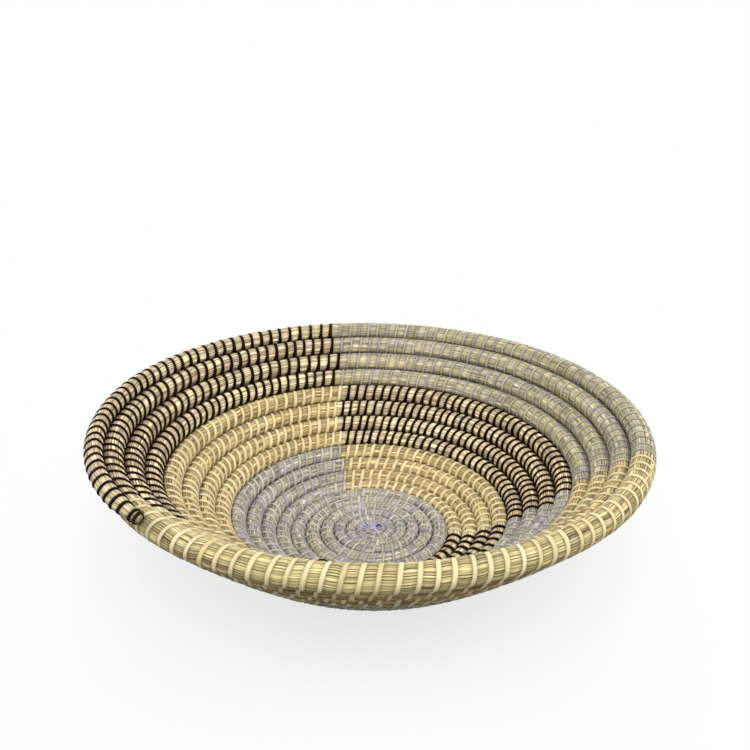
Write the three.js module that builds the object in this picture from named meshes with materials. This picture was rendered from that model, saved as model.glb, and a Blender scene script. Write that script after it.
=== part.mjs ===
// A coiled and sewn wall basket. One bundle of grass stems winds from the middle of a flat base up a
// flaring wall to the rim, and coloured strips sew each turn to the turn before it.
// Millimetres, +Z up. The basket stands on its base at z = 0.
import * as THREE from "three";

// The grass bundle, by the number of turns from its start in the middle of the base
const START_BUNDLE = 3.5; // thickness where it starts
const START_TURNS = 5; // and it has the base's thickness this many turns later
const CENTRE_BUNDLE = 9.2; // thickness in the base
const WALL_BUNDLE = 13.6; // thickness in the wall
const RIM_BUNDLE = 13.2; // thickness of the last turn
const TAIL_BUNDLE = 8; // thickness where the last turn ends
const BUNDLE_GAP = 1.3; // between one turn and the next, where the strips pass
const START_RADIUS = 4; // from the axis to the middle of the bundle where it starts
const COIL_TURNS = 18.09;
const THICKEN_FROM_TURN = 6.33; // the bundle grows again from here
const THICKEN_TURNS = 9; // and has the wall's thickness this many turns later
const RIM_CHANGE_TURNS = 0.5; // the bundle comes to the rim's thickness over this stretch
const TAIL_TURNS = 1 / 6; // the end tapers over this stretch
const TAIL_AZIMUTH = 226; // degrees from +X, where the coil ends

// The bowl's profile, followed by the middle of the bundle
const FLAT_RADIUS = 49; // the base is flat out to here
const BEND_LENGTH = 35; // how gently the base turns into the wall
const WALL_ANGLE = 47; // degrees, the slope that the wall comes close to
const PROFILE_STEP = 0.5;
const FLOOR_CUT = 0.5; // worn off the underside, so that the basket stands flat

// The strips and their pattern: bands of turns, each band of three sectors, from the rim inward
const STRIP_THICKNESS = 0.5;
const STRIP_CLEARANCE = 0.3;
const SEAM_AZIMUTH = 222; // degrees from +X, where the rim's first seam lies
const SEAM_GAP = 0.4; // between the strips that meet at a seam
const SEAM_DRIFT = 0.75; // degrees that a seam moves on from one turn to the next one inward
const WRAPPED_TURNS = 10; // from the rim, strips go right round; nearer the floor they cover the top
const BAND_TURNS = 4;
const SECTORS = ["left", "right", "front"];
const BANDS = [
  { name: "outer", colours: ["black", "lavender", "natural"] },
  { name: "middle", colours: ["natural", "black", "lavender"] },
  { name: "inner", colours: ["lavender", "natural", "black"] },
];
const CENTRE_COLOUR = "lavender";

// The knots at the two ends of the coil
const CENTRE_KNOT_HEIGHT = 4;
const KNOT_SHOULDER = 0.8; // where its top starts to round, against its height
const KNOT_CROWN = 0.6; // the flat of its top, against its width
const TAIL_KNOT_LENGTH = 7;
const TAIL_KNOT_SHAPE = [0.75, 1, 0.9, 0.45]; // its girth from the tail outward, against the tail's
const KNOT_SIDES = 12;

const STEPS = 24; // rings in one turn
const CORNER_REACH = (1 + 1 / Math.cos(Math.PI / STEPS)) / 2; // so that straight stretches straddle the round
const RADIANS = Math.PI / 180;

const MATERIALS = {
  grass: new THREE.MeshStandardMaterial({ color: 0xb9a67f, roughness: 0.8, metalness: 0 }),
  black: new THREE.MeshStandardMaterial({ color: 0x1f1815, roughness: 0.5, metalness: 0 }),
  natural: new THREE.MeshStandardMaterial({ color: 0xe6d29c, roughness: 0.55, metalness: 0 }),
  lavender: new THREE.MeshStandardMaterial({ color: 0xb6b0bd, roughness: 0.5, metalness: 0 }),
};

const clamp01 = (x) => Math.min(1, Math.max(0, x));
const mix = (a, b, share) => a + (b - a) * share;

// The bundle's thickness at a number of turns from its start, in the base alone and then in the whole
function baseThickness(turn) {
  return mix(START_BUNDLE, CENTRE_BUNDLE, clamp01(turn / START_TURNS));
}
function thickness(turn) {
  const grown = clamp01((turn - THICKEN_FROM_TURN) / THICKEN_TURNS);
  const body = mix(baseThickness(turn), WALL_BUNDLE, grown);
  const rimStart = COIL_TURNS - 1;
  const atRim = mix(body, RIM_BUNDLE, clamp01((turn - rimStart) / RIM_CHANGE_TURNS + 1));
  const tail = clamp01((turn - COIL_TURNS) / TAIL_TURNS + 1);
  return mix(atRim, TAIL_BUNDLE, tail);
}

// How far the middle of the bundle lies from the axis, along the bowl's profile: each turn lies
// against the turn before it
function travel(turn) {
  if (turn <= 1) return START_RADIUS + turn * ((thickness(0) + thickness(1)) / 2 + BUNDLE_GAP);
  return travel(turn - 1) + (thickness(turn - 1) + thickness(turn)) / 2 + BUNDLE_GAP;
}

// The slope of the bowl, in radians, at a distance along its profile
function slopeAt(distance) {
  if (distance <= FLAT_RADIUS) return 0;
  return WALL_ANGLE * RADIANS * (1 - Math.exp((FLAT_RADIUS - distance) / BEND_LENGTH));
}

// Radius, height and slope of the bowl at a distance along its profile
function profileAt(distance) {
  const risen = Math.max(0, distance - FLAT_RADIUS);
  const count = Math.ceil(risen / PROFILE_STEP);
  let radius = Math.min(distance, FLAT_RADIUS);
  let height = CENTRE_BUNDLE / 2 - FLOOR_CUT;
  for (let i = 0; i < count; i++) {
    const angle = slopeAt(FLAT_RADIUS + ((i + 0.5) / count) * risen);
    radius += (Math.cos(angle) * risen) / count;
    height += (Math.sin(angle) * risen) / count;
  }
  return { radius, height, slope: slopeAt(distance) };
}

// A place on the coil, counted in steps back from the tail. The thin start is raised, so that the
// base is level on top
function coilAt(step) {
  const turn = COIL_TURNS - step / STEPS;
  const { radius, height, slope } = profileAt(travel(turn));
  const raised = (CENTRE_BUNDLE - baseThickness(turn)) / 2;
  const azimuth = TAIL_AZIMUTH * RADIANS - (step / STEPS) * 2 * Math.PI;
  return { radius, height: height + raised, slope, azimuth, half: thickness(turn) / 2 };
}

// A section of points [along, across] laid at a place on the coil: along runs up the wall towards
// the rim, and across points into the bowl
function layRing(place, section) {
  const { radius, height, slope, azimuth } = place;
  return section.map(([along, across]) => {
    const r = CORNER_REACH * (radius + along * Math.cos(slope) - across * Math.sin(slope));
    const z = height + along * Math.sin(slope) + across * Math.cos(slope);
    return new THREE.Vector3(r * Math.cos(azimuth), r * Math.sin(azimuth), z);
  });
}

// The bundle's eight-sided section, from the inner face over the rim side to the outer face
const FACE_SHARE = Math.tan(Math.PI / 8); // half of a face, against the section's half width
function bundleSection(half) {
  const flat = half * FACE_SHARE;
  return [
    [flat, half],
    [half, flat],
    [half, -flat],
    [flat, -half],
    [-flat, -half],
    [-half, -flat],
    [-half, flat],
    [-flat, half],
  ];
}

// The path of a strip at a distance off the bundle, from its edge on the inner face
function stripPath(half, off, wraps) {
  const [overTop, rimSide, rimUnder, underneath] = bundleSection(half + off);
  const edge = half * FACE_SHARE;
  const top = [[-edge, half + off], overTop, rimSide];
  return wraps ? [...top, rimUnder, underneath, [-edge, -half - off]] : top;
}

// A closed section for a strip: out along its outer side and back along its inner side
function stripSection(half, wraps) {
  const outer = stripPath(half, STRIP_CLEARANCE + STRIP_THICKNESS, wraps);
  const inner = stripPath(half, STRIP_CLEARANCE, wraps).reverse();
  return [...outer, ...inner];
}

// A closed solid through rings of equal counts. Each end is closed by joining point j to the point
// as far from the ring's other end, which suits the bundle's section and the strips' alike
function sweep(rings) {
  const count = rings[0].length;
  const positions = rings.flat().flatMap((p) => [p.x, p.y, p.z]);
  const faces = [];
  for (let i = 0; i + 1 < rings.length; i++) {
    for (let j = 0; j < count; j++) {
      const a = i * count + j;
      const b = i * count + ((j + 1) % count);
      faces.push(a, b + count, b, a, a + count, b + count);
    }
  }
  const last = (rings.length - 1) * count;
  for (let j = 0; j < count / 2 - 1; j++) {
    const back = count - 1 - j;
    faces.push(j, back - 1, back, j, j + 1, back - 1);
    faces.push(last + j, last + back, last + back - 1, last + j, last + back - 1, last + j + 1);
  }
  const geometry = new THREE.BufferGeometry();
  geometry.setAttribute("position", new THREE.Float32BufferAttribute(positions, 3));
  geometry.setIndex(faces);
  geometry.computeVertexNormals();
  return geometry;
}

const basket = new THREE.Group();
function addPiece(name, material, geometry) {
  const mesh = new THREE.Mesh(geometry, MATERIALS[material]);
  mesh.name = name;
  basket.add(mesh);
}

// The coil, and its least gap from turn to turn, measured on its points
const coilSteps = Math.floor(COIL_TURNS * STEPS);
const coilRings = [];
for (let step = 0; step <= coilSteps; step++) {
  const place = coilAt(step);
  const ring = layRing(place, bundleSection(place.half));
  ring.forEach((point) => (point.z = Math.max(0, point.z)));
  coilRings.push(ring);
}
let leastGap = Infinity;
for (let step = 0; step + STEPS <= coilSteps; step++) {
  for (const point of coilRings[step]) {
    for (const other of coilRings[step + STEPS]) leastGap = Math.min(leastGap, point.distanceTo(other));
  }
}
console.log(`least gap between the turns of the coil: ${leastGap.toFixed(2)} mm`);
addPiece("foundation_coil", "grass", sweep(coilRings));

// One strip over the coil between two places counted in steps back from the tail. Its rings lie on
// the coil's straight stretches
function stripRings(from, to, wraps) {
  const trim = (step) => (SEAM_GAP / 2 / (2 * Math.PI * coilAt(step).radius)) * STEPS;
  const first = from + trim(from);
  const last = to - trim(to);
  const steps = [first];
  for (let step = Math.floor(first) + 1; step < last; step++) steps.push(step);
  steps.push(last);
  const whole = (step) => {
    const place = coilAt(step);
    return layRing(place, stripSection(place.half, wraps));
  };
  return steps.map((step) => {
    const low = whole(Math.floor(step));
    const high = whole(Math.ceil(step));
    return low.map((point, j) => point.clone().lerp(high[j], step - Math.floor(step)));
  });
}
function addStrip(name, colour, from, to, wraps) {
  addPiece(name, colour, sweep(stripRings(from, to, wraps)));
}

// The pattern's strips: one for each turn of each band in each sector. The first runs on to the tail
const runSteps = (STEPS / SECTORS.length) * (1 - SEAM_DRIFT / 360);
const tailSteps = ((TAIL_AZIMUTH - SEAM_AZIMUTH) / 360) * STEPS;
BANDS.forEach((band, bandIndex) => {
  for (let turn = 0; turn < BAND_TURNS; turn++) {
    const turnsFromRim = bandIndex * BAND_TURNS + turn;
    SECTORS.forEach((sector, sectorIndex) => {
      const run = turnsFromRim * SECTORS.length + sectorIndex;
      const from = run === 0 ? 0 : tailSteps + run * runSteps;
      const to = tailSteps + (run + 1) * runSteps;
      const colour = band.colours[sectorIndex];
      const name = `${colour}_strip_${band.name}_${sector}_${turn + 1}`;
      addStrip(name, colour, from, to, turnsFromRim < WRAPPED_TURNS);
    });
  }
});

// The base's strips, one for each whole turn that is left: the innermost runs on to the coil's start
const patternSteps = tailSteps + BANDS.length * BAND_TURNS * SECTORS.length * runSteps;
const centreTurns = Math.floor((coilSteps - patternSteps) / STEPS);
for (let turn = 0; turn < centreTurns; turn++) {
  const from = patternSteps + turn * STEPS;
  const to = turn + 1 < centreTurns ? from + STEPS : coilSteps;
  addStrip(`${CENTRE_COLOUR}_strip_centre_${turn + 1}`, CENTRE_COLOUR, from, to, false);
}

// The knot that binds the start of the coil, a low dome in the middle of the base
const knotRadius = START_RADIUS - START_BUNDLE / 2 - STRIP_CLEARANCE;
const knotFoot = CENTRE_BUNDLE - FLOOR_CUT - START_BUNDLE;
const knotProfile = [
  [0, knotFoot],
  [knotRadius, knotFoot],
  [knotRadius, knotFoot + CENTRE_KNOT_HEIGHT * KNOT_SHOULDER],
  [knotRadius * KNOT_CROWN, knotFoot + CENTRE_KNOT_HEIGHT],
  [0, knotFoot + CENTRE_KNOT_HEIGHT],
].map(([r, z]) => new THREE.Vector2(r, z));
const centreKnot = new THREE.LatheGeometry(knotProfile, KNOT_SIDES);
addPiece("centre_knot", CENTRE_COLOUR, centreKnot.rotateX(Math.PI / 2));

// The knot at the tail, beyond the end of the coil and lying on the turn below
const stepLength = (2 * Math.PI * coilAt(0).radius) / STEPS;
const tailKnotRings = TAIL_KNOT_SHAPE.map((girth, i) => {
  const share = i / (TAIL_KNOT_SHAPE.length - 1);
  const place = coilAt(-(STRIP_CLEARANCE + share * TAIL_KNOT_LENGTH) / stepLength);
  return layRing(place, bundleSection(place.half * girth));
});
addPiece("rim_tail_knot", BANDS[0].colours[0], sweep(tailKnotRings.reverse()));

// The origin is on the floor, under the middle of the basket's outline
const outline = new THREE.Box3().setFromObject(basket);
const middle = outline.getCenter(new THREE.Vector3());
basket.position.set(-middle.x, -middle.y, 0);
const size = outline.getSize(new THREE.Vector3());
console.log(`outline ${size.x.toFixed(1)} x ${size.y.toFixed(1)} x ${size.z.toFixed(1)} mm`);

export default basket;
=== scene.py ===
"""A coiled and sewn wall basket, dressed over its packed construction.

One bundle of grass stems winds from the middle of the base to the rim, and flat strips of three colours
sew each turn to the turn before it. Sizes are in millimetres until a mesh is made. Only the frame, the
floor and the lamps are in metres. Turns are counted from the start of the coil.
"""
import math

import bpy
import numpy as np
from mathutils import Matrix, Vector


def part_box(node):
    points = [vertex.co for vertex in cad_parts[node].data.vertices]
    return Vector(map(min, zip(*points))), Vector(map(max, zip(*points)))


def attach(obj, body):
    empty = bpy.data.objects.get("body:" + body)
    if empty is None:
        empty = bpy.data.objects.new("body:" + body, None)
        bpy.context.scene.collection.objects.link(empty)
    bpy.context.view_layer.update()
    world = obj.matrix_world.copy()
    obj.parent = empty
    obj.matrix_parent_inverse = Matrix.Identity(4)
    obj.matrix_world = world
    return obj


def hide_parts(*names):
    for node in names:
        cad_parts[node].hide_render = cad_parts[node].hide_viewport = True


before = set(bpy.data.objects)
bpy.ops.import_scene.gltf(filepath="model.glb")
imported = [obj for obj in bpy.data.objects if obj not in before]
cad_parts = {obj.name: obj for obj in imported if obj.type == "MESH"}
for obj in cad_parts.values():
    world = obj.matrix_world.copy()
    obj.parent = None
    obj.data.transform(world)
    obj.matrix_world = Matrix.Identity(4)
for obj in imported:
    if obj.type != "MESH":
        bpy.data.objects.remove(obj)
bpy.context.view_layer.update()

MM = 0.001

# The grass bundle, as it is in the construction
START_BUNDLE = 3.5
START_TURNS = 5.0
CENTRE_BUNDLE = 9.2
WALL_BUNDLE = 13.6
RIM_BUNDLE = 13.2
TAIL_BUNDLE = 8.0
BUNDLE_GAP = 1.3
START_RADIUS = 4.0
COIL_TURNS = 18.09
THICKEN_FROM_TURN = 6.33
THICKEN_TURNS = 9.0
RIM_CHANGE_TURNS = 0.5
TAIL_TURNS = 1 / 6
TAIL_AZIMUTH = math.radians(226)

# The bowl's profile, as it is in the construction, and the steps of the tables that follow it
FLAT_RADIUS = 49.0
BEND_LENGTH = 35.0
WALL_ANGLE = math.radians(47)
FLOOR_CUT = 0.5
PROFILE_LENGTH = 260.0
PROFILE_STEP = 0.25
TABLE_STEPS = 720

# The strips' pattern, as it is in the construction: bands from the rim in, with a colour for each sector
SEAM_AZIMUTH = math.radians(222)
SEAM_DRIFT = 0.75
BAND_TURNS = 4
SECTORS = ("left", "right", "front")
BANDS = (
    ("outer", ("black", "lavender", "natural")),
    ("middle", ("natural", "black", "lavender")),
    ("inner", ("lavender", "natural", "black")),
)
CENTRE_STRIPS = 6
CENTRE_COLOUR = "lavender"

# Looks: the three colours, grey for lavender in the base and these bands, rim for natural grass at the
# rim, whose tints are lighter as painted light on the top turn
GREY = "grey"
GREY_BANDS = ("middle", "inner")

# The bundle's stems, the gaps between them and their painted shade, the tones of the stems from stitch to
# stitch, and painted shade in the grooves and beside the stitches
STEMS = 32
STEM_WAVES = 2
STEM_WAVE = (45, 140)
STEM_RISE = 0.20
RISE_SWING = 0.6
STEM_GAP = 0.40
GAP_SWING = 0.5
GAP_WAVE = (60, 160)
STEM_WANDER = 0.20
STEM_TWIST = 0.05
STEM_PIECE = (50.0, 150.0)
STEM_STAGGER = 17.0
PIECE_TONE = 0.15
PIECE_TONE_LIMITS = (0.55, 1.3)
DASH_TONE = 0.21
DASH_TONE_LIMITS = (0.5, 1.45)
# Painted shade in the gaps between stems: how dark each gap is painted, by chance from stitch to stitch
DASH_GAP = 0.85
DASH_GAP_POWER = 2.6
STEM_CONTRAST = {"black": 1.0, "natural": 1.0, "lavender": 0.85, "grey": 0.95, "rim": 1.0}
# Painted shade on the grass deep in the grooves between turns, by kind
GROOVE_SHADE = {"black": 0.80, "natural": 0.60, "lavender": 0.60, "grey": 0.80, "rim": 0.45}
GROOVE_FROM = 0.70
# Painted shade on the grass beside each stitch, where the strap pinches the bundle
STITCH_SHADE = 0.5

# The bundle's shape: it swells between stitches and presses against its neighbours
RING_SHARES = np.array((0.0, 0.20, 0.37, 0.63, 0.80))
RING_SWELLS = np.array((0.0, 0.35, 1.0, 1.0, 0.35))
BULGE = 0.30
BULGE_VARY = (0.6, 1.35)
PINCH = 0.22
NEIGHBOUR_PRESS = 0.75
TOUCH = 0.05
FULLNESS = 0.2
INNER_FULLNESS = 1.4
INNER_TURNS = (1.5, 3.0)
INNER_FADE_TURNS = 0.15
FLOOR_CLEAR = 0.25
RIM_OPENING = 5.0
RIM_TRIM = 2.0
RIM_TRIM_TURNS = 0.36
START_LEAN_FADE = 12.0
TAIL_LEAN_FADE = 6.0

# The tail: it slims before the coil's end, and past that its rings close over shares of its reach
TAIL_SLIM_LENGTH = 18.0
TAIL_SLIM_SIZE = 0.72
TAIL_REACH = 6.5
TAIL_ROUNDING = np.array(((0.0, TAIL_SLIM_SIZE), (0.55, 0.70), (0.85, 0.66), (1.0, 0.54)))
TAIL_TIP = 0.9

# The meshes that the bundle is cut into, and the turn where each starts
GRASS_PIECES = (
    ("base", 0.0),
    ("inner_low", 6.1),
    ("inner_high", 8.1),
    ("middle_low", 10.09),
    ("middle_high", 12.09),
    ("outer_low", 14.09),
    ("outer_high", 15.59),
    ("rim", 17.09),
)

# The distance from stitch to stitch along the coil, and the turns over which it changes
FIRST_STITCH = 0.8
LAST_STITCH_CLEAR = 2.0
STITCH_PITCH = 7.3
RIM_PITCH = 8.9
RIM_PITCH_TURNS = 8.0
TAIL_PITCH = 7.0
TAIL_PITCH_TURNS = 0.05
BASE_PITCH = 6.0
BASE_TURNS = (4.5, 7.5)
STAR_PITCH = 3.6
STAR_TURNS = 1.12
STAR_PITCH_TURNS = 2.0
CLOSE_BAND = "black_strip_middle"
CLOSE_PITCH = 0.88
PITCH_WAVE = 0.03
PITCH_WAVES = ((41, 0), (97, 2))
PITCH_JITTER = 0.05
JITTER_LIMIT = 2
SEAM_SHIFT = 5.4
SEAM_SHIFT_TURNS = (4.0, 12.0)

# How the stitches lean
LEAN_RIM = math.radians(10)
LEAN_BASE = math.radians(18)
LEAN_TURNS = 9.0
LEAN_SWING = 15.0
SWING_POWER = 3
SWING_TURNS = (5.0, 8.0)
SWING_FADE_TURNS = 0.15

# The straps: sizes by kind or colour, and shares of the width in some bands and where stitches crowd
STRAP_WIDTH = {"black": 2.3, "natural": 2.5, "lavender": 1.5, "grey": 1.95}
STRAP_VARY = {"black": 0.12, "natural": 0.12, "lavender": 0.22, "grey": 0.28}
STRAP_THICKNESS = {"black": 0.80, "natural": 0.60, "lavender": 0.50}
BAND_WIDTH = {"black_strip_middle": 0.90, "black_strip_inner": 1.22}
CROWDED_WIDTH = 0.7
STRAP_FLARE = {"black": 0.55, "natural": 0.20, "lavender": 0.15}
FLARE_FROM = math.radians(100)
FLARE_OVER = math.radians(60)
STRAP_END = math.radians(172)
STRAP_POINTS = 27
END_TUCK = 0.9
END_WIDTH = 0.7
STRAP_LIFT = 0.08
OUTWARD_STEP = 1.0
STRAP_FLOOR = 0.02
# Painted shade on the straps deep in the grooves between turns
STRAP_SHADE = 0.35
SPOKE_START = 0.9
SPOKE_FROM = math.radians(100)
SPOKE_SHARE = 0.9
SPOKE_DROP = 0.8

# A strap's section, in shares of its width and thickness, and how light each of its points is painted:
# painted shade toward its edges
RIBBON = np.array((
    (-0.5, -0.10), (-0.47, 0.62), (-0.22, 0.95),
    (0.22, 0.95), (0.47, 0.62), (0.5, -0.10),
    (0.0, -0.2),
))
RIBBON_PAINTED_LIGHT = np.array((0.0, 0.55, 1.0, 1.0, 0.55, 0.0, 0.3))

# A strap's place on the map of its grain: steps along it, its width, and the shift from strap to strap
MAP_STEP = 2.0
MAP_WIDTH = 3
MAP_SHIFT = (53.0, 7.0)

# The knots: straps over and under the middle of the base, an indigo end, and wraps at the tail
KNOT_TURNS = np.radians((15, 75, 135))
KNOT_SHARES = np.linspace(-1, 1, 9)
KNOT_LAYER = 0.15
KNOT_TOP = 8.75
KNOT_REACH = 2.6
KNOT_ARCH = 1.2
KNOT_WIDTH = 1.7
KNOT_LOW = 6.4
KNOT_LOW_TURN = math.radians(30)
KNOT_LOW_REACH = 7.5
KNOT_LOW_ARCH = 0.3
KNOT_LOW_WIDTH = 6.5
INDIGO_END = np.array(((2.4, 1.2), (5.6, 2.0)))
INDIGO_RISE = 1.2
TAIL_WRAPS = np.array((1.2, 5.0))
TAIL_WRAP_WIDTH = 2.1
TAIL_WRAP_LEAN = 0.5

# Colours as they look in even light, from 0 to 255: each kind's first one varies toward the other two
GRASS_TINTS = {
    "black": ((241, 220, 180), (219, 188, 154), (237, 228, 171)),
    "natural": ((214, 191, 137), (186, 160, 109), (216, 201, 131)),
    "lavender": ((205, 194, 162), (180, 174, 158), (206, 198, 128)),
    "grey": ((202, 192, 171), (176, 170, 167), (200, 195, 152)),
    # The rim's tints are natural grass made lighter, as painted light on the top turn
    "rim": ((222, 204, 152), (198, 174, 120), (224, 212, 144)),
}
STRAP_TINTS = {
    "black": ((28, 15, 6), (44, 24, 12), (14, 8, 4)),
    "natural": ((246, 229, 180), (236, 215, 160), (250, 237, 196)),
    "lavender": ((200, 191, 186), (184, 174, 200), (192, 192, 184)),
    "grey": ((208, 202, 197), (188, 176, 210), (196, 201, 190)),
    "star": ((180, 178, 198), (200, 197, 208), (156, 158, 196)),
}
INDIGO = (64, 54, 128)

# Finishes: each noise's stretch along and across its map, the span that shows, and the light it gives
COARSE_DETAIL = 3
FINE_DETAIL = 2
NOISE_SPAN = (0.3, 0.7)
GRASS_STREAK = (0.030, 2.6, 1)
STREAK_SPAN = (0.32, 0.66)
STREAK_LIGHT = (0.66, 1.28)
GRASS_FIBRE = (0.10, 7.0, 1)
FIBRE_LIGHT = (0.74, 1.22)
# Painted shade in the gaps between stems: the span of their painted light that shows, and how light it
# leaves them
GAP_SPAN = (0.03, 0.60)
GAP_LIGHT = (0.02, 1.06)
GRASS_ROUGHNESS = (0.6, 0.85)
GRASS_SHINE = 0.15
GRASS_BUMP = (0.5, 0.0003)
STRAP_GRAIN = (0.10, 1.6, 1)
GRAIN_LIGHT = (0.82, 1.14)
STRAP_FINE = (0.5, 7.0, 1)
FINE_LIGHT = (0.93, 1.06)
# Painted shade toward the edges of the straps
EDGE_LIGHT = (0.55, 1.02)
STRAP_ROUGHNESS = {"black": (0.42, 0.62), "natural": (0.44, 0.64), "lavender": (0.40, 0.60)}
STRAP_SHINE = {"black": 0.05, "natural": 0.25, "lavender": 0.25}
STRAP_BUMP = (0.3, 0.0001)

# The floor, which turns from pale near the basket to white, and the sky from low to overhead
FLOOR_SIZE = 3.0
FLOOR_NEAR = 0.15
FLOOR_FAR = 0.36
FLOOR_WHITE = 0.72
FLOOR_SEEN = 0.92
FLOOR_BOUNCE = 0.10
FLOOR_ROUGHNESS = 0.9
SKY_LIGHT = (0.10, 0.41)

# Round soft lamps: name, place, what it points at, width and watts
LAMPS = (
    ("key", (0.08, -1.36, 1.50), (0, 0, 0.03), 1.76, 35.0),
    ("right", (1.02, 0.10, 0.50), (0, 0, 0.05), 0.8, 3.4),
    ("left", (-1.02, 0.10, 0.50), (0, 0, 0.05), 0.8, 2.6),
    ("back", (0.10, 1.02, 0.50), (0, 0, 0.05), 0.8, 3.4),
    ("right_low", (0.80, 0.50, 0.14), (0, 0, 0.06), 0.25, 0.8),
    ("left_low", (-0.80, 0.50, 0.14), (0, 0, 0.06), 0.25, 0.8),
)

# The camera, fitted to the photograph: the aim is measured from the coil's axis
CAMERA_ELEVATION = math.radians(21.788)
CAMERA_DISTANCE = 485.05
CAMERA_AIM = (0.833, 0.0, 123.51)
CAMERA_ROLL = math.radians(0.254)
FOCAL_PIXELS = 755.22
PICTURE_PIXELS = 750
SENSOR = 36.0

random = np.random.default_rng(20)


def clamp01(x):
    return np.clip(x, 0.0, 1.0)


def smooth(x):
    """A soft step from 0 to 1."""
    x = clamp01(x)
    return x * x * (3 - 2 * x)


def ramp(x, start, end):
    """A soft step from 0 at the start to 1 at the end."""
    return smooth((x - start) / (end - start))


def mix(a, b, share):
    return a + (b - a) * share


def linear(colour):
    """A colour written as it looks, from 0 to 255, as the light that it stands for."""
    c = np.asarray(colour, float) / 255
    return np.where(c <= 0.04045, c / 12.92, ((c + 0.055) / 1.055) ** 2.4)


# The coil's path: tables over turns from its start, and over the distance along the bowl's profile
def base_thickness(turn):
    return mix(START_BUNDLE, CENTRE_BUNDLE, clamp01(turn / START_TURNS))


def thickness(turn):
    body = mix(base_thickness(turn), WALL_BUNDLE, clamp01((turn - THICKEN_FROM_TURN) / THICKEN_TURNS))
    at_rim = mix(body, RIM_BUNDLE, clamp01((turn - COIL_TURNS + 1) / RIM_CHANGE_TURNS + 1))
    return mix(at_rim, TAIL_BUNDLE, clamp01((turn - COIL_TURNS) / TAIL_TURNS + 1))


def coil_travel(turns, thick):
    """How far out along the profile the coil's middle lies: each turn rests on the turn before it."""
    travel = START_RADIUS + turns * ((thickness(0.0) + thickness(1.0)) / 2 + BUNDLE_GAP)
    for first in range(TABLE_STEPS, len(turns), TABLE_STEPS):
        here = slice(first, first + TABLE_STEPS)
        before = slice(first - TABLE_STEPS, first - TABLE_STEPS + len(turns[here]))
        travel[here] = travel[before] + (thick[before] + thick[here]) / 2 + BUNDLE_GAP
    return travel


turn_table = np.arange((math.ceil(COIL_TURNS) + 1) * TABLE_STEPS + 1) / TABLE_STEPS
thick_table = thickness(turn_table)
travel_table = coil_travel(turn_table, thick_table)

distance_table = np.arange(0, PROFILE_LENGTH, PROFILE_STEP)
slope_table = WALL_ANGLE * (1 - np.exp(np.minimum(0, FLAT_RADIUS - distance_table) / BEND_LENGTH))
middle_slope = (slope_table[1:] + slope_table[:-1]) / 2
radius_table = np.concatenate([[0], np.cumsum(np.cos(middle_slope)) * PROFILE_STEP])
height_table = np.concatenate([[0], np.cumsum(np.sin(middle_slope)) * PROFILE_STEP])
height_table += CENTRE_BUNDLE / 2 - FLOOR_CUT

coil_radius = np.interp(travel_table, distance_table, radius_table)
radius_sums = np.cumsum(coil_radius[1:] + coil_radius[:-1])
length_table = np.concatenate([[0], radius_sums * math.pi / TABLE_STEPS])

knot_low, knot_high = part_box("centre_knot")
AXIS = np.array((knot_low + knot_high) / 2)[:2] / MM


def turn_at(length):
    return np.interp(length, length_table, turn_table)


def length_at(turn):
    return np.interp(turn, turn_table, length_table)


def half_at(turn):
    return np.interp(turn, turn_table, thick_table) / 2


def azimuth_at(turn):
    return TAIL_AZIMUTH + (turn - COIL_TURNS) * 2 * math.pi


COIL_END = length_at(COIL_TURNS)


def lay(turn, along, across):
    """Points beside the coil's middle: along runs up the wall to the rim, and across into the bowl."""
    distance = np.interp(turn, turn_table, travel_table)
    slope = np.interp(distance, distance_table, slope_table)
    radius = np.interp(distance, distance_table, radius_table)
    height = np.interp(distance, distance_table, height_table) + (CENTRE_BUNDLE - base_thickness(turn)) / 2
    azimuth = azimuth_at(turn)
    r = radius + along * np.cos(slope) - across * np.sin(slope)
    z = height + along * np.sin(slope) + across * np.cos(slope)
    return np.stack([AXIS[0] + r * np.cos(azimuth), AXIS[1] + r * np.sin(azimuth), z], axis=-1)


# The bundle's section, by the angle round it: 0 is the side to the rim, and a right angle the inner side
def free_side(angle, turn):
    """1 on the rim side of the last turn, which has no neighbour there, and 0 elsewhere."""
    return np.where(np.cos(angle) > 0, clamp01((turn - COIL_TURNS + 1) * 2 * math.pi * RIM_OPENING), 0.0)


def swelling(angle, turn):
    """How freely the bundle swells at an angle: less where it is pressed against its neighbours."""
    return 1 - NEIGHBOUR_PRESS * np.cos(angle) ** 2 * (1 - free_side(angle, turn))


def in_groove(angle, turn):
    """How deep in the groove between two turns the surface is at an angle."""
    return ramp(np.abs(np.cos(angle)), GROOVE_FROM, 1.0) * (1 - free_side(angle, turn))


def section(turn, angle, extra):
    """Along and across offsets on the bundle's surface, with something extra outward.

    A bundle reaches to its neighbours on both sides, but the last turn has none on the rim side.
    """
    half = half_at(turn)
    reach = BUNDLE_GAP / 2 + TOUCH
    trim = RIM_TRIM * smooth((turn - COIL_TURNS) / RIM_TRIM_TURNS + 1) * (np.cos(angle) > 0)
    along = (half + reach * (1 - free_side(angle, turn)) + extra - trim) * np.cos(angle)
    fuller = ramp(turn, *INNER_TURNS) * smooth((COIL_TURNS - 1 - turn) / INNER_FADE_TURNS)
    across = (half + FULLNESS + INNER_FULLNESS * fuller * (np.sin(angle) > 0) + extra) * np.sin(angle)
    return along, across


def surface(turn, angle, extra, size):
    """Points on the bundle's surface with something extra outward, at a share of the bundle's size."""
    along, across = section(turn, angle, extra)
    return lay(turn, along * size, across * size)


def tail_size(length):
    """The bundle's size near its end, where stems are left out until a thin tail remains."""
    return mix(TAIL_SLIM_SIZE, 1.0, smooth((COIL_END - length) / TAIL_SLIM_LENGTH))


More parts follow.
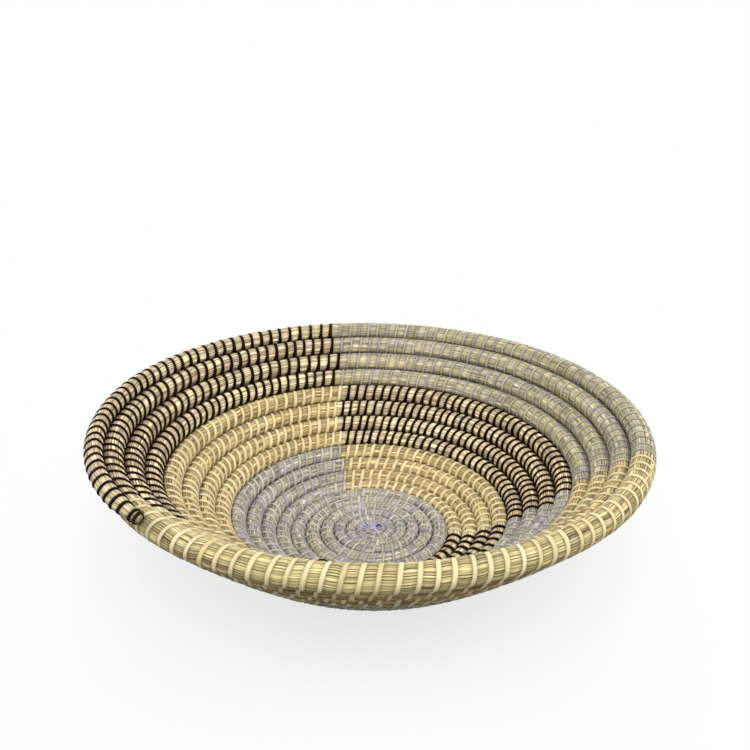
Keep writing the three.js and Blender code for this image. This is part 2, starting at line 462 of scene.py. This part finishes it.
# The runs of strip
def strip_runs():
    """Runs of strip from the centre outward: node name, kind, and the turn where each starts."""
    run = (1 - SEAM_DRIFT / 360) / len(SECTORS)
    pattern_end = COIL_TURNS - (TAIL_AZIMUTH - SEAM_AZIMUTH) / (2 * math.pi)
    runs = []
    for band, (band_name, colours) in enumerate(BANDS):
        for turn in range(BAND_TURNS):
            for sector, sector_name in enumerate(SECTORS):
                number = (band * BAND_TURNS + turn) * len(SECTORS) + sector
                name = f"{colours[sector]}_strip_{band_name}_{sector_name}_{turn + 1}"
                grey = colours[sector] == CENTRE_COLOUR and band_name in GREY_BANDS
                kind = GREY if grey else colours[sector]
                runs.append((name, kind, pattern_end - number * run - run))
    pattern_start = runs[-1][2]
    for turn in range(CENTRE_STRIPS):
        name = f"{CENTRE_COLOUR}_strip_centre_{turn + 1}"
        start = pattern_start - turn - 1 if turn + 1 < CENTRE_STRIPS else 0.0
        runs.append((name, GREY, start))
    return runs[::-1]


RUNS = strip_runs()
RUN_STARTS = np.array([run[2] for run in RUNS])


def run_of(turn):
    return np.clip(np.searchsorted(RUN_STARTS, turn, side="right") - 1, 0, len(RUNS) - 1)


# The stitches
def stitch_pitch(turn):
    """The distance to the next stitch: wider toward the rim, and closer in the base and its star."""
    pitch = mix(STITCH_PITCH, RIM_PITCH, clamp01((turn - COIL_TURNS) / RIM_PITCH_TURNS + 1))
    pitch = mix(BASE_PITCH, pitch, clamp01((turn - BASE_TURNS[0]) / (BASE_TURNS[1] - BASE_TURNS[0])))
    pitch = mix(STAR_PITCH, pitch, smooth((turn - STAR_TURNS / 2) / STAR_PITCH_TURNS))
    pitch = mix(TAIL_PITCH, pitch, clamp01((COIL_TURNS - turn) / TAIL_PITCH_TURNS))
    if RUNS[run_of(turn)][0].startswith(CLOSE_BAND):
        pitch *= CLOSE_PITCH
    return pitch


def stitch_lengths():
    """Where the stitches lie along the coil, with slow waves and small chance in their distances."""
    places = [FIRST_STITCH]
    while True:
        place = places[-1]
        slow = sum(PITCH_WAVE * math.sin(place / wave + phase) for wave, phase in PITCH_WAVES)
        jitter = PITCH_JITTER * float(np.clip(random.normal(), -JITTER_LIMIT, JITTER_LIMIT))
        place += stitch_pitch(turn_at(place)) * (1 + slow + jitter)
        if place > COIL_END - LAST_STITCH_CLEAR:
            return np.array(places)
        places.append(place)


STITCHES = stitch_lengths()
STITCH_TURNS = turn_at(STITCHES)


def advance(turn):
    """How far a strip moves along the coil while it goes once round the bundle."""
    lean = mix(LEAN_RIM, LEAN_BASE, clamp01((COIL_TURNS - turn) / LEAN_TURNS))
    return np.tan(lean) * 2 * math.pi * half_at(turn)


def stitch_runs():
    """The run that each stitch belongs to.

    In the wall, colours change a little before the construction's seams.
    """
    shift = SEAM_SHIFT * ramp(STITCH_TURNS, *SEAM_SHIFT_TURNS)
    return run_of(turn_at(STITCHES + advance(STITCH_TURNS) / 4 + shift))


STITCH_RUNS = stitch_runs()


def swing(turn):
    """How much further than that a strip moves on the inner side, and back on the outer side.

    Strips lean further on the left of the wall, and less on its right.
    """
    wall = ramp(turn, *SWING_TURNS) * smooth((COIL_TURNS - 1 - turn) / SWING_FADE_TURNS)
    return -LEAN_SWING * np.cos(azimuth_at(turn)) ** SWING_POWER * wall


def wind(angle, turn):
    """How far a stitch has moved along the coil at an angle round the bundle.

    Past the strap's ends, between two turns, the way leads back to where it began.
    """
    angle = (angle + math.pi) % (2 * math.pi) - math.pi
    moved = advance(turn)
    edge = moved * STRAP_END / (2 * math.pi)
    beyond = np.where(angle > 0, angle - STRAP_END, angle + 2 * math.pi - STRAP_END)
    hidden = edge * (1 - beyond / (math.pi - STRAP_END))
    steady = np.where(np.abs(angle) > STRAP_END, hidden, moved * angle / (2 * math.pi))
    return steady + swing(turn) * (np.abs(angle) - math.pi / 2) / (2 * math.pi)


# Mesh making
def make_mesh(name, points, quads, triangles):
    """A mesh object from points in millimetres, rows of four corners, and rows of three."""
    loops = np.concatenate([np.ravel(quads), np.ravel(triangles)]).astype(np.int32)
    totals = np.concatenate([np.full(len(quads), 4), np.full(len(triangles), 3)]).astype(np.int32)
    loop_starts = np.concatenate([[0], np.cumsum(totals)[:-1]])
    mesh = bpy.data.meshes.new(name)
    mesh.vertices.add(len(points))
    mesh.vertices.foreach_set("co", (np.asarray(points) * MM).astype(np.float32).ravel())
    mesh.loops.add(len(loops))
    mesh.loops.foreach_set("vertex_index", loops)
    mesh.polygons.add(len(totals))
    mesh.polygons.foreach_set("loop_start", loop_starts.astype(np.int32))
    mesh.polygons.foreach_set("loop_total", totals)
    mesh.polygons.foreach_set("use_smooth", np.ones(len(totals), bool))
    mesh.update(calc_edges=True)
    piece = bpy.data.objects.new(name, mesh)
    bpy.context.scene.collection.objects.link(piece)
    return piece


def tube_faces(rows, count, starts):
    """Quads round closed tubes of rows of count points, and fans over their ends.

    Each tube's points start at one of the numbers in starts.
    """
    first = np.asarray(starts)[:, None]
    last = first + (rows - 1) * count
    ring = first[:, :, None] + np.arange(rows - 1)[None, :, None] * count
    around = np.arange(count)[None, None, :]
    ahead = (around + 1) % count
    quads = np.stack([ring + around, ring + ahead, ring + count + ahead, ring + count + around], axis=-1)
    step = np.arange(1, count - 1)
    first_fan = np.stack(np.broadcast_arrays(first, first + step + 1, first + step), axis=-1)
    last_fan = np.stack(np.broadcast_arrays(last, last + step, last + step + 1), axis=-1)
    return quads.reshape(-1, 4), np.concatenate([first_fan, last_fan]).reshape(-1, 3)


def add_values(piece, name, values):
    layer = piece.data.attributes.new(name, "FLOAT", "POINT")
    layer.data.foreach_set("value", np.ravel(values).astype(np.float32))


def add_colours(piece, name, colours):
    colours = np.reshape(colours, (-1, 3))
    rows = np.concatenate([colours, np.ones((len(colours), 1))], axis=1)
    layer = piece.data.attributes.new(name, "FLOAT_COLOR", "POINT")
    layer.data.foreach_set("color", rows.astype(np.float32).ravel())


def add_uv(piece, uv):
    """A map from a place for each point."""
    corner = np.empty(len(piece.data.loops), np.int32)
    piece.data.loops.foreach_get("vertex_index", corner)
    layer = piece.data.uv_layers.new(name="UVMap")
    layer.data.foreach_set("uv", np.reshape(uv, (-1, 2))[corner].astype(np.float32).ravel())


def dress(piece, material, slot, *nodes):
    piece.data.materials.append(material)
    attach(piece, "root")
    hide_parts(*nodes)


# Materials
class Nodes:
    """The nodes of a material or a world, with short ways to add and join them."""

    def __init__(self, owner):
        owner.use_nodes = True
        self.tree = owner.node_tree

    def named(self, name):
        return self.tree.nodes[name]

    def add(self, kind, **settings):
        node = self.tree.nodes.new(kind)
        for key, value in settings.items():
            setattr(node, key, value)
        return node

    def join(self, source, target):
        self.tree.links.new(source, target)

    def attribute(self, name, output):
        return self.add("ShaderNodeAttribute", attribute_name=name).outputs[output]

    def math(self, operation, a, b):
        node = self.add("ShaderNodeMath", operation=operation)
        self.join(a, node.inputs[0])
        self.join(b, node.inputs[1])
        return node.outputs[0]

    def ranged(self, value, result, span=(0.0, 1.0), **settings):
        """A value's span, spread over the range of a result."""
        node = self.add("ShaderNodeMapRange", **settings)
        node.inputs["From Min"].default_value, node.inputs["From Max"].default_value = span
        node.inputs["To Min"].default_value, node.inputs["To Max"].default_value = result
        self.join(value, node.inputs["Value"])
        return node.outputs["Result"]

    def noise(self, stretch, detail):
        """Noise over the surface's own map, stretched differently along it and across it."""
        mapping = self.add("ShaderNodeMapping")
        mapping.inputs["Scale"].default_value = stretch
        self.join(self.add("ShaderNodeTexCoord").outputs["UV"], mapping.inputs["Vector"])
        node = self.add("ShaderNodeTexNoise")
        node.inputs["Scale"].default_value = 1.0
        node.inputs["Detail"].default_value = detail
        self.join(mapping.outputs["Vector"], node.inputs["Vector"])
        return node.outputs["Fac"]

    def shade(self, colour, amount):
        """A colour made lighter or darker by a value about 1."""
        node = self.add("ShaderNodeMix", data_type="RGBA", blend_type="MULTIPLY")
        node.inputs["Factor"].default_value = 1.0
        self.join(colour, node.inputs["A"])
        self.join(amount, node.inputs["B"])
        return node.outputs["Result"]

    def bump(self, height, strength, distance):
        node = self.add("ShaderNodeBump")
        node.inputs["Strength"].default_value = strength
        node.inputs["Distance"].default_value = distance
        self.join(height, node.inputs["Height"])
        return node.outputs["Normal"]

    def seen_directly(self):
        """1 for rays from the camera, mirrors and glass, and 0 for light that falls on things."""
        rays = self.add("ShaderNodeLightPath").outputs
        reflected = self.math("MAXIMUM", rays["Is Glossy Ray"], rays["Is Transmission Ray"])
        return self.math("MAXIMUM", rays["Is Camera Ray"], reflected)


def grass_material():
    material = bpy.data.materials.new("grass_stems")
    nodes = Nodes(material)
    shader = nodes.named("Principled BSDF").inputs
    streak = nodes.noise(GRASS_STREAK, COARSE_DETAIL)
    fibre = nodes.noise(GRASS_FIBRE, FINE_DETAIL)
    streak_light = nodes.ranged(streak, STREAK_LIGHT, STREAK_SPAN)
    fibre_light = nodes.ranged(fibre, FIBRE_LIGHT, NOISE_SPAN)
    light = nodes.math("MULTIPLY", streak_light, fibre_light)
    tint = nodes.shade(nodes.attribute("tint", "Color"), light)
    # Painted shade in the gaps between stems
    gaps = nodes.ranged(nodes.attribute("painted_light", "Fac"), GAP_LIGHT, GAP_SPAN)
    nodes.join(nodes.shade(tint, gaps), shader["Base Color"])
    nodes.join(nodes.ranged(fibre, GRASS_ROUGHNESS), shader["Roughness"])
    shader["Specular IOR Level"].default_value = GRASS_SHINE
    nodes.join(nodes.bump(fibre, *GRASS_BUMP), shader["Normal"])
    return material


def strap_material(colour):
    material = bpy.data.materials.new(f"{colour}_strap")
    nodes = Nodes(material)
    shader = nodes.named("Principled BSDF").inputs
    grain = nodes.noise(STRAP_GRAIN, COARSE_DETAIL)
    fine = nodes.noise(STRAP_FINE, FINE_DETAIL)
    grain_light = nodes.ranged(grain, GRAIN_LIGHT, NOISE_SPAN)
    fine_light = nodes.ranged(fine, FINE_LIGHT, NOISE_SPAN)
    light = nodes.math("MULTIPLY", grain_light, fine_light)
    tint = nodes.shade(nodes.attribute("tint", "Color"), light)
    # Painted shade toward the strap's edges
    edges = nodes.ranged(nodes.attribute("painted_light", "Fac"), EDGE_LIGHT)
    nodes.join(nodes.shade(tint, edges), shader["Base Color"])
    nodes.join(nodes.ranged(grain, STRAP_ROUGHNESS[colour]), shader["Roughness"])
    shader["Specular IOR Level"].default_value = STRAP_SHINE[colour]
    nodes.join(nodes.bump(fine, *STRAP_BUMP), shader["Normal"])
    return material


GRASS = grass_material()
STRAPS = {colour: strap_material(colour) for colour in STRAP_SHINE}


def tints(kind, pick, table):
    """Colours between the three tints of a kind, by two random shares."""
    first, second, third = (linear(c) for c in table[kind])
    share = pick[..., :1] ** 2
    return np.where(pick[..., 1:] < 0.5, mix(first, second, share), mix(first, third, share))


# The grass bundle: two points for each stem in a ring, one on the stem and one in the gap beside it
STEM_POINTS = STEMS * 2
POINT_STEM = np.repeat(np.arange(STEMS), 2)
ON_STEM = np.arange(STEM_POINTS) % 2 == 0
PIECE_COUNT = int(length_table[-1] / STEM_PIECE[0]) + 2

stem_waves = random.uniform(*STEM_WAVE, (STEM_WAVES, STEMS))
stem_phases = random.uniform(0, 2 * math.pi, (STEM_WAVES, STEMS))
gap_waves = random.uniform(*GAP_WAVE, STEMS)
gap_phases = random.uniform(0, 2 * math.pi, STEMS)
stem_pieces = random.uniform(*STEM_PIECE, STEMS)
piece_picks = random.random((STEMS, PIECE_COUNT, 2))
piece_tones = np.clip(random.normal(1.0, PIECE_TONE, (STEMS, PIECE_COUNT)), *PIECE_TONE_LIMITS)
dash_tones = np.clip(random.normal(1.0, DASH_TONE, (len(STITCHES), STEMS)), *DASH_TONE_LIMITS)
dash_gaps = random.random((len(STITCHES), STEMS)) ** DASH_GAP_POWER
segment_bulge = random.uniform(*BULGE_VARY, len(STITCHES) + 1)
stitch_twist = random.normal(0, STEM_TWIST, len(STITCHES))


def grass_rings(first, last):
    """Rings from one stitch to another: their length along the coil, stitch, swell and size.

    The bundle's last rings close its tail.
    """
    lengths = np.append(STITCHES, COIL_END)
    stitch = np.repeat(np.arange(first, last), len(RING_SHARES))
    share = np.tile(RING_SHARES, last - first)
    length = np.append(lengths[stitch] + (lengths[stitch + 1] - lengths[stitch]) * share, lengths[last])
    stitch = np.append(stitch, last - 1)
    swell = np.append(np.tile(RING_SWELLS, last - first), 0.0)
    size = tail_size(length)
    if last == len(STITCHES):
        closing = TAIL_ROUNDING[1:]
        length = np.append(length, COIL_END + closing[:, 0] * TAIL_REACH)
        stitch = np.append(stitch, np.full(len(closing), last - 1))
        swell = np.append(swell, np.zeros(len(closing)))
        size = np.append(size, closing[:, 1])
    return length, stitch, swell, size


def stem_wave(length, waves, phases):
    return np.sin(length / waves[POINT_STEM] * 2 * math.pi + phases[POINT_STEM])


def grass_points(length, stitch, swell, size):
    """The angles, turns and places of the points of rings, which lean as the stitches do."""
    spacing = 2 * math.pi / STEMS
    wander = STEM_WANDER * spacing * stem_wave(length, gap_waves, gap_phases)
    twist = np.interp(length, STITCHES, stitch_twist)
    angle = np.arange(STEM_POINTS) / STEM_POINTS * 2 * math.pi + twist + np.where(ON_STEM, 0.0, wander)
    ring_turn = turn_at(length)
    lean = clamp01((COIL_END - length) / TAIL_LEAN_FADE) * clamp01(length / START_LEAN_FADE)
    turn = turn_at(length + lean * wind(angle, ring_turn))
    wave = sum(stem_wave(length, *drawn) for drawn in zip(stem_waves, stem_phases)) / STEM_WAVES
    stem_rise = STEM_RISE * (1 - RISE_SWING + RISE_SWING * wave)
    rise = np.where(ON_STEM, stem_rise, -STEM_GAP * (1 + GAP_SWING * wave))
    bulge = BULGE * segment_bulge[stitch][:, None] * swell - PINCH * (1 - swell)
    thick = half_at(ring_turn) / (WALL_BUNDLE / 2)
    points = surface(turn, angle, thick * rise + thick * bulge * swelling(angle, turn), size)
    points[..., 2] = np.maximum(points[..., 2], FLOOR_CLEAR)
    return angle, turn, points


def grass_looks(length, stitch, swell, angle, turn):
    """The colours of the points of rings, with painted shade in the grooves and beside the stitches, and
    their painted light, which darkens the gaps between stems.
    """
    number = ((length + POINT_STEM * STEM_STAGGER) / stem_pieces[POINT_STEM]).astype(int) % PIECE_COUNT
    pick = piece_picks[POINT_STEM[None, :], number]
    tone = piece_tones[POINT_STEM[None, :], number] * dash_tones[stitch][:, POINT_STEM]
    kinds = np.array([RUNS[run][1] for run in STITCH_RUNS[stitch]])
    # Painted light: natural grass on the last turn takes the lighter rim tints
    kinds[(kinds == "natural") & (turn_at(length[:, 0]) > COIL_TURNS - 1)] = "rim"
    groove = in_groove(angle, turn)
    colour = np.empty((*groove.shape, 3))
    for kind in GRASS_TINTS:
        chosen = kinds == kind
        # Random tones of the stems, with painted shade in the grooves between turns
        light = mix(1.0, tone[chosen], STEM_CONTRAST[kind]) * (1 - GROOVE_SHADE[kind] * groove[chosen])
        colour[chosen] = tints(kind, pick[chosen], GRASS_TINTS) * light[..., None]
    # Painted shade beside each stitch
    colour *= (1 - STITCH_SHADE * (1 - swell) ** 2)[..., None]
    contrast = np.array([STEM_CONTRAST[kind] for kind in kinds])[:, None]
    # Painted shade: gaps between stems darker than the stems, and none at the cut end of the tail
    painted_light = np.where(ON_STEM, 1.0, mix(1.0, DASH_GAP * dash_gaps[stitch][:, POINT_STEM], contrast))
    painted_light[length[:, 0] > COIL_END + TAIL_REACH * TAIL_TIP] = 1.0
    return colour, painted_light


def grass_piece(name, first, last):
    """The bundle between two stitches."""
    length, stitch, swell, size = grass_rings(first, last)
    length, swell, size = length[:, None], swell[:, None], size[:, None]
    angle, turn, points = grass_points(length, stitch, swell, size)
    quads, fans = tube_faces(len(length), STEM_POINTS, [0])
    piece = make_mesh(f"grass_{name}", points.reshape(-1, 3), quads, fans)
    colour, painted_light = grass_looks(length, stitch, swell, angle, turn)
    add_colours(piece, "tint", colour)
    # The painted shade of the gaps between stems
    add_values(piece, "painted_light", painted_light)
    add_uv(piece, np.stack(np.broadcast_arrays(length, np.arange(STEM_POINTS) / 2), axis=-1))
    dress(piece, GRASS, "grass", "foundation_coil")


# The straps: one flat ribbon for each stitch, wound round the bundle
def ribbons(path, outward, width, thick):
    """Points of closed ribbons along paths: rows of their section, flat side to the bundle."""
    tangent = np.gradient(path, axis=1)
    tangent /= np.linalg.norm(tangent, axis=-1, keepdims=True)
    normal = outward - (outward * tangent).sum(-1, keepdims=True) * tangent
    normal /= np.linalg.norm(normal, axis=-1, keepdims=True)
    side = np.cross(tangent, normal)
    return (path[:, :, None, :] + side[:, :, None, :] * (RIBBON[:, :1] * width[:, :, None, None])
            + normal[:, :, None, :] * (RIBBON[:, 1:] * thick))


def ribbon_piece(name, rows, colours, shade, numbers):
    """One mesh of many ribbons.

    Each ribbon has a colour, shade along it, and a number that tells its grain from the others'.
    """
    ribbon_count, row_count, point_count, _ = rows.shape
    rows[..., 2] = np.maximum(rows[..., 2], STRAP_FLOOR)
    starts = np.arange(ribbon_count) * row_count * point_count
    quads, fans = tube_faces(row_count, point_count, starts)
    piece = make_mesh(name, rows.reshape(-1, 3), quads, fans)
    tint = colours[:, None, None, :] * shade[..., None, None]
    add_colours(piece, "tint", np.broadcast_to(tint, rows.shape))
    # Painted shade toward the edges of each ribbon
    add_values(piece, "painted_light", np.broadcast_to(RIBBON_PAINTED_LIGHT, rows.shape[:3]))
    numbers = numbers[:, None, None]
    along = np.arange(row_count)[None, :, None] * MAP_STEP + numbers * MAP_SHIFT[0]
    across = RIBBON[:, 0] * MAP_WIDTH + numbers * MAP_SHIFT[1]
    add_uv(piece, np.stack(np.broadcast_arrays(along, across), axis=-1))
    return piece


def wraps(turn, angle, extra, size):
    """Paths round the bundle with something extra outward, and the way outward from them."""
    path = surface(turn, angle, extra, size)
    return path, surface(turn, angle, extra + OUTWARD_STEP, size) - path


def strap_paths(length, angle, lift):
    """Paths over the bundle at angles round it, for stitches at lengths along the coil."""
    turn = turn_at(length[:, None] + wind(angle, turn_at(length)[:, None]))
    thick = half_at(turn) / (WALL_BUNDLE / 2)
    extra = thick * (lift - PINCH * swelling(angle, turn)) + STRAP_LIFT
    return wraps(turn, angle, extra, tail_size(length)[:, None])


def spoke_paths(path, angle):
    """Paths of the first turn's straps, whose inner ends run on to the middle of the base."""
    top = path[:, np.argmin(np.abs(angle - math.pi / 2))]
    middle = top * (0, 0, 1) + (*AXIS, 0)
    toward = top - middle
    start = middle + toward * (SPOKE_START / np.linalg.norm(toward, axis=-1, keepdims=True))
    start[:, 2] -= SPOKE_DROP
    share = smooth((angle - SPOKE_FROM) / (STRAP_END - SPOKE_FROM) * SPOKE_SHARE)[None, :, None]
    return mix(path, start[:, None, :], share)


def strap_widths(name, kind, colour, chosen, angle, at_end):
    """Widths along the straps of a run: narrower where stitches crowd, and flared in the groove."""
    crowding = np.minimum(1.0, np.gradient(STITCHES)[chosen] / STITCH_PITCH)
    vary = STRAP_VARY[kind]
    width = STRAP_WIDTH[kind] * mix(CROWDED_WIDTH, 1.0, crowding)
    width = width * random.uniform(1 - vary, 1 + vary, len(chosen))
    for band, share in BAND_WIDTH.items():
        if name.startswith(band):
            width *= share
    flare = 1 + STRAP_FLARE[colour] * smooth((np.abs(angle) - FLARE_FROM) / FLARE_OVER)
    return width[:, None] * flare * np.where(at_end, END_WIDTH, 1.0)


def strap_piece(run_number):
    """The straps of one run of strip.

    The first turn's straps make a star in the middle of the base, and have tints of their own.
    """
    name, kind, _ = RUNS[run_number]
    colour = CENTRE_COLOUR if kind == GREY else kind
    chosen = np.flatnonzero(STITCH_RUNS == run_number)
    spokes = STITCH_TURNS[chosen] < STAR_TURNS
    angle = np.linspace(STRAP_END, -STRAP_END, STRAP_POINTS)
    at_end = np.abs(angle) >= STRAP_END
    path, outward = strap_paths(STITCHES[chosen], angle, np.where(at_end, -END_TUCK, 0.0))
    path[..., 2] = np.maximum(path[..., 2], STRAP_FLOOR + STRAP_THICKNESS[colour])
    path[spokes] = spoke_paths(path[spokes], angle)
    width = strap_widths(name, kind, colour, chosen, angle, at_end)
    rows = ribbons(path, outward, width, STRAP_THICKNESS[colour])
    tint = tints(kind, random.random((len(chosen), 2)), STRAP_TINTS)
    tint[spokes] = tints("star", random.random((spokes.sum(), 2)), STRAP_TINTS)
    vary = STRAP_VARY[kind]
    tint = tint * random.uniform(1 - vary, 1 + vary / 2, (len(chosen), 1))
    # Painted shade on the straps in the grooves between turns
    shade = 1 - STRAP_SHADE * in_groove(angle, STITCH_TURNS[chosen][:, None])
    piece = ribbon_piece(f"straps_{name}", rows, tint, shade, chosen)
    dress(piece, STRAPS[colour], f"{colour}_strip", name)


# The knots
def crossing(turn, reach, height):
    """A straight way over the coil's axis in a direction, with heights along it."""
    way = np.outer(KNOT_SHARES * reach, (math.cos(turn), math.sin(turn)))
    return np.column_stack([AXIS + way, height])


def centre_knot():
    """Straps that cross over the middle of the base, wider ones that close it below, and an indigo end."""
    arch = KNOT_SHARES ** 2
    straps = []
    for level, turn in enumerate(KNOT_TURNS):
        top = KNOT_TOP - KNOT_ARCH * arch - KNOT_LAYER * level
        low = KNOT_LOW + KNOT_LOW_ARCH * arch + KNOT_LAYER * level
        straps.append((crossing(turn, KNOT_REACH, top), 1.0, KNOT_WIDTH))
        straps.append((crossing(turn + KNOT_LOW_TURN, KNOT_LOW_REACH, low), -1.0, KNOT_LOW_WIDTH))
    flat = AXIS + mix(INDIGO_END[0], INDIGO_END[1], (KNOT_SHARES[:, None] + 1) / 2)
    end = np.column_stack([flat, KNOT_TOP + INDIGO_RISE - KNOT_ARCH * arch])
    straps.append((end, 1.0, KNOT_WIDTH))
    path, upward, width = (np.array(part) for part in zip(*straps))
    outward = np.zeros(path.shape)
    outward[..., 2] = upward[:, None]
    rows = ribbons(path, outward, np.tile(width[:, None], len(KNOT_SHARES)), STRAP_THICKNESS["lavender"])
    tint = tints("star", random.random((len(path), 2)), STRAP_TINTS)
    tint[-1] = linear(INDIGO)
    piece = ribbon_piece("centre_knot_straps", rows, tint, np.ones(rows.shape[:2]), np.arange(len(rows)))
    dress(piece, STRAPS["lavender"], "lavender_strip", "centre_knot")


def tail_knot():
    """Wraps round the cut end of the tail."""
    angle = np.linspace(STRAP_END, -STRAP_END, STRAP_POINTS)
    size = np.interp(TAIL_WRAPS, TAIL_ROUNDING[:, 0] * TAIL_REACH, TAIL_ROUNDING[:, 1])[:, None]
    lean = TAIL_WRAP_LEAN * np.sin(angle + np.arange(len(TAIL_WRAPS))[:, None])
    turn = turn_at(COIL_END + TAIL_WRAPS[:, None] + lean)
    path, outward = wraps(turn, angle, STRAP_LIFT, size)
    width = np.full(path.shape[:2], TAIL_WRAP_WIDTH)
    rows = ribbons(path, outward, width, STRAP_THICKNESS["black"])
    tint = tints("black", random.random((len(path), 2)), STRAP_TINTS)
    piece = ribbon_piece("rim_tail_knot_wraps", rows, tint, np.ones(path.shape[:2]), np.arange(len(path)))
    dress(piece, STRAPS["black"], "black_strip", "rim_tail_knot")


# Floor, light and camera
def floor():
    """A pale floor that keeps the basket's shadow near it and turns white further out."""
    mesh = bpy.data.meshes.new("floor")
    corners = [(x * FLOOR_SIZE, y * FLOOR_SIZE, 0) for x, y in ((-1, -1), (1, -1), (1, 1), (-1, 1))]
    mesh.from_pydata(corners, [], [(0, 1, 2, 3)])
    piece = bpy.data.objects.new("floor", mesh)
    bpy.context.scene.collection.objects.link(piece)
    material = bpy.data.materials.new("floor_paper")
    nodes = Nodes(material)
    paper = nodes.named("Principled BSDF")
    paper.inputs["Roughness"].default_value = FLOOR_ROUGHNESS
    paper.inputs["Specular IOR Level"].default_value = 0.0
    seen = nodes.seen_directly()
    nodes.join(nodes.ranged(seen, (FLOOR_BOUNCE, FLOOR_SEEN)), paper.inputs["Base Color"])
    reach = nodes.add("ShaderNodeVectorMath", operation="LENGTH")
    nodes.join(nodes.add("ShaderNodeNewGeometry").outputs["Position"], reach.inputs[0])
    span = (FLOOR_NEAR, FLOOR_FAR)
    fade = nodes.ranged(reach.outputs["Value"], (FLOOR_WHITE, 1.0), span, interpolation_type="SMOOTHSTEP")
    glow = nodes.add("ShaderNodeEmission")
    glow.inputs["Strength"].default_value = 1.0
    blend = nodes.add("ShaderNodeMixShader")
    nodes.join(nodes.math("MULTIPLY", fade, seen), blend.inputs["Fac"])
    nodes.join(paper.outputs["BSDF"], blend.inputs[1])
    nodes.join(glow.outputs["Emission"], blend.inputs[2])
    nodes.join(blend.outputs["Shader"], nodes.named("Material Output").inputs["Surface"])
    mesh.materials.append(material)


def area_light(name, place, aim, width, power):
    data = bpy.data.lights.new(name, "AREA")
    data.shape = "DISK"
    data.size = width
    data.energy = power
    lamp = bpy.data.objects.new(name, data)
    lamp.visible_camera = False
    lamp.location = place
    lamp.rotation_euler = (Vector(aim) - Vector(place)).to_track_quat("-Z", "Y").to_euler()
    bpy.context.scene.collection.objects.link(lamp)


def studio():
    """A soft white surround, brighter overhead, which the camera sees as plain white."""
    world = bpy.data.worlds.new("studio")
    bpy.context.scene.world = world
    nodes = Nodes(world)
    direction = nodes.add("ShaderNodeSeparateXYZ")
    nodes.join(nodes.add("ShaderNodeTexCoord").outputs["Generated"], direction.inputs["Vector"])
    sky = nodes.ranged(direction.outputs["Z"], SKY_LIGHT)
    level = nodes.add("ShaderNodeMapRange")
    level.inputs["To Max"].default_value = 1.0
    nodes.join(sky, level.inputs["To Min"])
    nodes.join(nodes.seen_directly(), level.inputs["Value"])
    background = nodes.named("Background")
    background.inputs["Color"].default_value = (1, 1, 1, 1)
    nodes.join(level.outputs["Result"], background.inputs["Strength"])


def camera():
    data = bpy.data.cameras.new("camera")
    data.sensor_width = SENSOR
    data.lens = FOCAL_PIXELS / PICTURE_PIXELS * SENSOR
    aim = np.array(CAMERA_AIM) + [*AXIS, 0]
    away = np.array([0, -math.cos(CAMERA_ELEVATION), math.sin(CAMERA_ELEVATION)])
    eye = aim + CAMERA_DISTANCE * away
    turn = Vector(-away).to_track_quat("-Z", "Y").to_matrix() @ Matrix.Rotation(CAMERA_ROLL, 3, "Z")
    viewer = bpy.data.objects.new("camera", data)
    viewer.matrix_world = Matrix.Translation(Vector(eye * MM)) @ turn.to_4x4()
    bpy.context.scene.collection.objects.link(viewer)
    bpy.context.scene.camera = viewer


# The basket, and then what it stands on and what lights it
grass_cuts = [int(np.searchsorted(STITCH_TURNS, turn)) for _, turn in GRASS_PIECES] + [len(STITCHES)]
for (part_name, _), first_stitch, last_stitch in zip(GRASS_PIECES, grass_cuts, grass_cuts[1:]):
    grass_piece(part_name, first_stitch, last_stitch)
for run_number in range(len(RUNS)):
    strap_piece(run_number)
centre_knot()
tail_knot()
floor()
for lamp in LAMPS:
    area_light(*lamp)
studio()
camera()
bpy.context.scene.view_settings.view_transform = "Standard"
